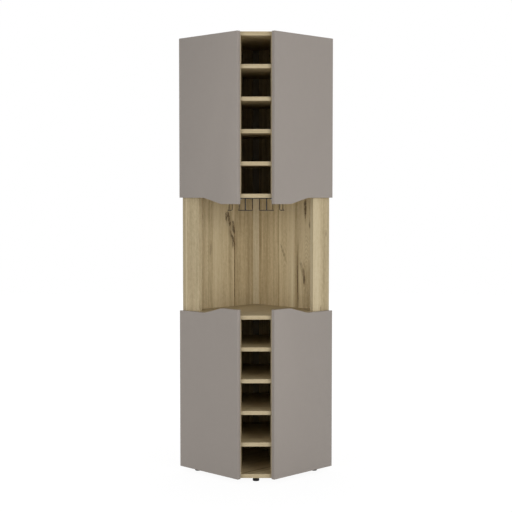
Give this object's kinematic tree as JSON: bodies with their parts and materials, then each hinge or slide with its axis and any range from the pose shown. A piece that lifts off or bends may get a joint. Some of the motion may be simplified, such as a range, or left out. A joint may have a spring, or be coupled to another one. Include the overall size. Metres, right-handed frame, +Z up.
{
  "type": "corner bar cabinet",
  "caption": "Tall corner bar cabinet with a cut front corner, hinged matte doors, an oak-look bottle column and an open niche with a hanging glass rack.",
  "frame": {"origin": "on the floor, at the middle of the cabinet's plan box", "axes": "+Z up; the doors and the bottle column face -Y; the room corner is at +Y; +X to the right seen from the front"},
  "size_m": [0.6364, 0.563, 1.8],
  "materials": {
    "oak_board": "knotty light oak print, satin",
    "taupe_front": "matte taupe laminate",
    "black_wire": "black powder coat",
    "black_plastic": "matte moulded",
    "nickel_steel": "nickel plated",
    "zinc_steel": "zinc plated",
    "beech_dowel": "raw beech",
    "soft_bumper": "clear soft dots"
  },
  "bodies": {
    "cabinet": {"base_board": "oak_board", "counter_board": "oak_board", "niche_ceiling_board": "oak_board", "top_board": "oak_board", "rear_left_panel": "oak_board", "rear_right_panel": "oak_board", "corner_batten": "oak_board", "niche_post_left": "oak_board", "niche_post_right": "oak_board", "lower_partition_left": "oak_board", "lower_partition_right": "oak_board", "upper_partition_left": "oak_board", "upper_partition_right": "oak_board", "lower_column_shelf_1": "oak_board", "lower_column_shelf_2": "oak_board", "lower_column_shelf_3": "oak_board", "lower_column_shelf_4": "oak_board", "upper_column_shelf_1": "oak_board", "upper_column_shelf_2": "oak_board", "upper_column_shelf_3": "oak_board", "upper_column_shelf_4": "oak_board", "lower_side_shelf_left": "oak_board", "lower_side_shelf_right": "oak_board", "upper_side_shelf_left": "oak_board", "upper_side_shelf_right": "oak_board", "hinge_arms": "nickel_steel", "hinge_plates": "nickel_steel", "hinge_plate_screws": "zinc_steel", "glass_rack": "black_wire", "rack_screws": "zinc_steel", "foot_front": "black_plastic", "foot_left": "black_plastic", "foot_right": "black_plastic", "foot_rear": "black_plastic", "foot_screws": "zinc_steel", "door_bumpers": "soft_bumper", "shelf_pins": "zinc_steel", "dowels": "beech_dowel", "carcass_screws": "zinc_steel", "wall_brackets": "zinc_steel", "bracket_screws": "zinc_steel"},
    "lower_left_door": {"lower_door_left": "taupe_front", "lower_hinge_cups_left": "nickel_steel", "lower_cup_screws_left": "zinc_steel"},
    "lower_left_links": {"lower_hinge_links_left": "nickel_steel"},
    "lower_right_door": {"lower_door_right": "taupe_front", "lower_hinge_cups_right": "nickel_steel", "lower_cup_screws_right": "zinc_steel"},
    "lower_right_links": {"lower_hinge_links_right": "nickel_steel"},
    "upper_left_door": {"upper_door_left": "taupe_front", "upper_hinge_cups_left": "nickel_steel", "upper_cup_screws_left": "zinc_steel"},
    "upper_left_links": {"upper_hinge_links_left": "nickel_steel"},
    "upper_right_door": {"upper_door_right": "taupe_front", "upper_hinge_cups_right": "nickel_steel", "upper_cup_screws_right": "zinc_steel"},
    "upper_right_links": {"upper_hinge_links_right": "nickel_steel"}
  },
  "joints": [
    {"name": "lower_left_door_hinge", "type": "hinge", "parent": "cabinet", "child": "lower_left_door", "pos_m": [-0.31325, -0.04161, 0.346], "axis": [0, 0, -1], "range_deg": [0, 90]},
    {"name": "lower_left_links_swing", "type": "hinge", "parent": "cabinet", "child": "lower_left_links", "pos_m": [-0.29416, -0.04726, 0.346], "axis": [0, 0, -1], "range_deg": [0, 95]},
    {"name": "lower_right_door_hinge", "type": "hinge", "parent": "cabinet", "child": "lower_right_door", "pos_m": [0.31325, -0.04161, 0.346], "axis": [0, 0, 1], "range_deg": [0, 90]},
    {"name": "lower_right_links_swing", "type": "hinge", "parent": "cabinet", "child": "lower_right_links", "pos_m": [0.29416, -0.04726, 0.346], "axis": [0, 0, 1], "range_deg": [0, 95]},
    {"name": "upper_left_door_hinge", "type": "hinge", "parent": "cabinet", "child": "upper_left_door", "pos_m": [-0.31325, -0.04161, 1.472], "axis": [0, 0, -1], "range_deg": [0, 90]},
    {"name": "upper_left_links_swing", "type": "hinge", "parent": "cabinet", "child": "upper_left_links", "pos_m": [-0.29416, -0.04726, 1.472], "axis": [0, 0, -1], "range_deg": [0, 95]},
    {"name": "upper_right_door_hinge", "type": "hinge", "parent": "cabinet", "child": "upper_right_door", "pos_m": [0.31325, -0.04161, 1.472], "axis": [0, 0, 1], "range_deg": [0, 90]},
    {"name": "upper_right_links_swing", "type": "hinge", "parent": "cabinet", "child": "upper_right_links", "pos_m": [0.29416, -0.04726, 1.472], "axis": [0, 0, 1], "range_deg": [0, 95]}
  ],
  "couplings": [
    {"joint": "lower_left_links_swing", "follows": "lower_left_door_hinge", "ratio": 1.0555},
    {"joint": "lower_right_links_swing", "follows": "lower_right_door_hinge", "ratio": 1.0555},
    {"joint": "upper_left_links_swing", "follows": "upper_left_door_hinge", "ratio": 1.0555},
    {"joint": "upper_right_links_swing", "follows": "upper_right_door_hinge", "ratio": 1.0555}
  ]
}
